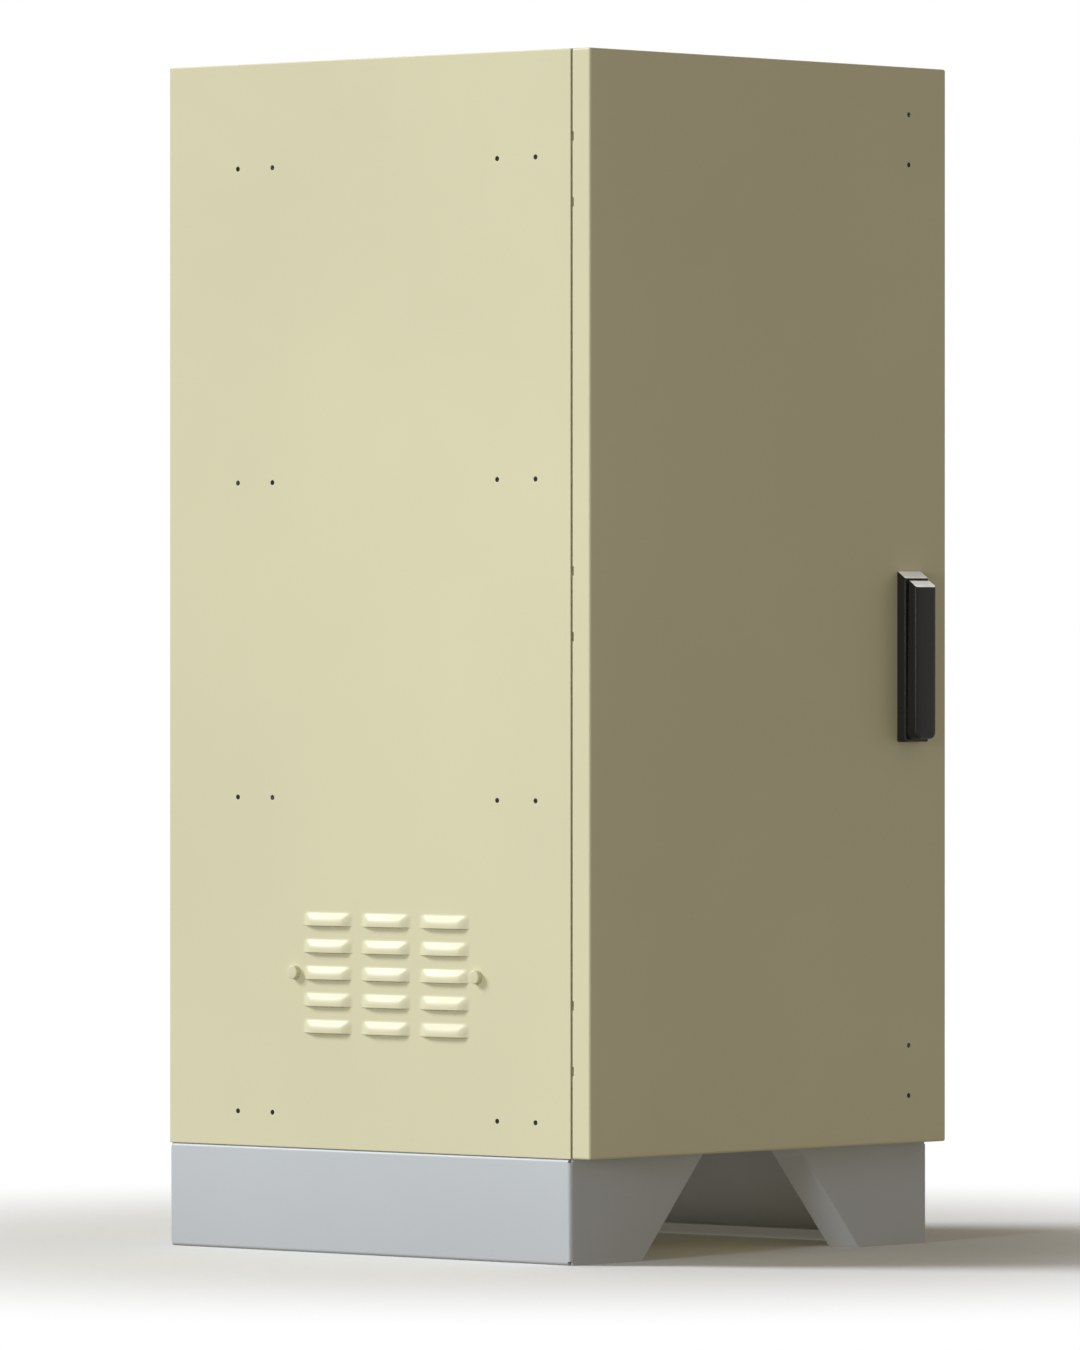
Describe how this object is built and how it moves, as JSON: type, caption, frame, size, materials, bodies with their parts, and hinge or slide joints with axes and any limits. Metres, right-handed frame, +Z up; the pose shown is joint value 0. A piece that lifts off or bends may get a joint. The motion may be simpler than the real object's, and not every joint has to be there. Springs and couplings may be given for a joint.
{
  "type": "floor-standing equipment cabinet",
  "caption": "Tall sheet-metal equipment cabinet on a folded plinth, with a hinged front door, a swing handle with rod lock, a louvred side vent and rack rails inside.",
  "frame": {"origin": "middle of the plinth footprint, on the floor", "axes": "+X to the right along the door seen from the front, +Y to the rear, +Z up"},
  "size_m": [0.607, 0.6546, 1.315],
  "materials": {
    "cream_paint": "smooth semi-gloss powder coat",
    "grey_paint": "satin powder coat",
    "zinc_steel": "zinc-plated sheet",
    "bright_steel": "drawn bar, plain",
    "black_plastic": "moulded, fine grain",
    "black_steel": "blackened screws",
    "seal_rubber": "foamed seal",
    "filter_felt": "filter fleece"
  },
  "bodies": {
    "cabinet": {"depth_rail_left_1": "zinc_steel", "depth_rail_left_2": "zinc_steel", "depth_rail_left_3": "zinc_steel", "depth_rail_left_4": "zinc_steel", "depth_rail_right_1": "zinc_steel", "depth_rail_right_2": "zinc_steel", "depth_rail_right_3": "zinc_steel", "depth_rail_right_4": "zinc_steel", "filter_frame": "zinc_steel", "filter_mat": "filter_felt", "floor_panel": "cream_paint", "front_frame": "cream_paint", "gland_plate": "zinc_steel", "gland_plate_screws": "zinc_steel", "hinge_lower_body_leaf": "zinc_steel", "hinge_middle_body_leaf": "zinc_steel", "hinge_pins": "bright_steel", "hinge_screws": "zinc_steel", "hinge_upper_body_leaf": "zinc_steel", "left_side_panel": "cream_paint", "plinth_bolts": "zinc_steel", "plinth_left": "grey_paint", "plinth_nuts": "zinc_steel", "plinth_right": "grey_paint", "rack_rail_front_left": "zinc_steel", "rack_rail_front_right": "zinc_steel", "rack_rail_rear_left": "zinc_steel", "rack_rail_rear_right": "zinc_steel", "rail_bolts": "zinc_steel", "rail_screws_left": "black_steel", "rail_screws_right": "black_steel", "rear_panel": "cream_paint", "right_side_panel": "cream_paint", "roof_panel": "cream_paint", "vent_bolts": "cream_paint", "vent_nuts": "zinc_steel"},
    "door": {"door_gasket": "seal_rubber", "door_panel": "cream_paint", "door_stiffener_left": "cream_paint", "door_stiffener_right": "cream_paint", "hinge_lower_door_leaf": "zinc_steel", "hinge_middle_door_leaf": "zinc_steel", "hinge_upper_door_leaf": "zinc_steel", "handle_housing": "black_plastic", "handle_screws": "zinc_steel", "lock_case": "zinc_steel", "lock_cover": "zinc_steel", "upper_rod_guide": "black_plastic", "lower_rod_guide": "black_plastic", "guide_screws": "black_steel"},
    "handle_core": {"handle_spindle": "bright_steel", "lever_pin": "bright_steel", "lock_crank": "bright_steel"},
    "lever": {"handle_lever": "black_plastic"},
    "upper_rod": {"upper_rod": "bright_steel"},
    "lower_rod": {"lower_rod": "bright_steel"}
  },
  "joints": [
    {"name": "door_swing", "type": "hinge", "parent": "cabinet", "child": "door", "pos_m": [-0.294, -0.309, 0.715], "axis": [0, 0, -1], "range_deg": [0, 110]},
    {"name": "handle_turn", "type": "hinge", "parent": "door", "child": "handle_core", "pos_m": [0.2355, -0.334, 0.715], "axis": [0, 1, 0], "range_deg": [0, 90]},
    {"name": "lever_lift", "type": "hinge", "parent": "handle_core", "child": "lever", "pos_m": [0.2355, -0.345, 0.735], "axis": [-1, 0, 0], "range_deg": [0, 20]},
    {"name": "upper_rod_slide", "type": "slide", "parent": "door", "child": "upper_rod", "axis": [0, 0, 1], "range_m": [-0.0156, 0]},
    {"name": "lower_rod_slide", "type": "slide", "parent": "door", "child": "lower_rod", "axis": [0, 0, 1], "range_m": [0, 0.0156]}
  ],
  "couplings": [
    {"joint": "upper_rod_slide", "follows": "handle_turn", "m_per_rad": -0.0099035},
    {"joint": "lower_rod_slide", "follows": "handle_turn", "m_per_rad": 0.0099035}
  ]
}
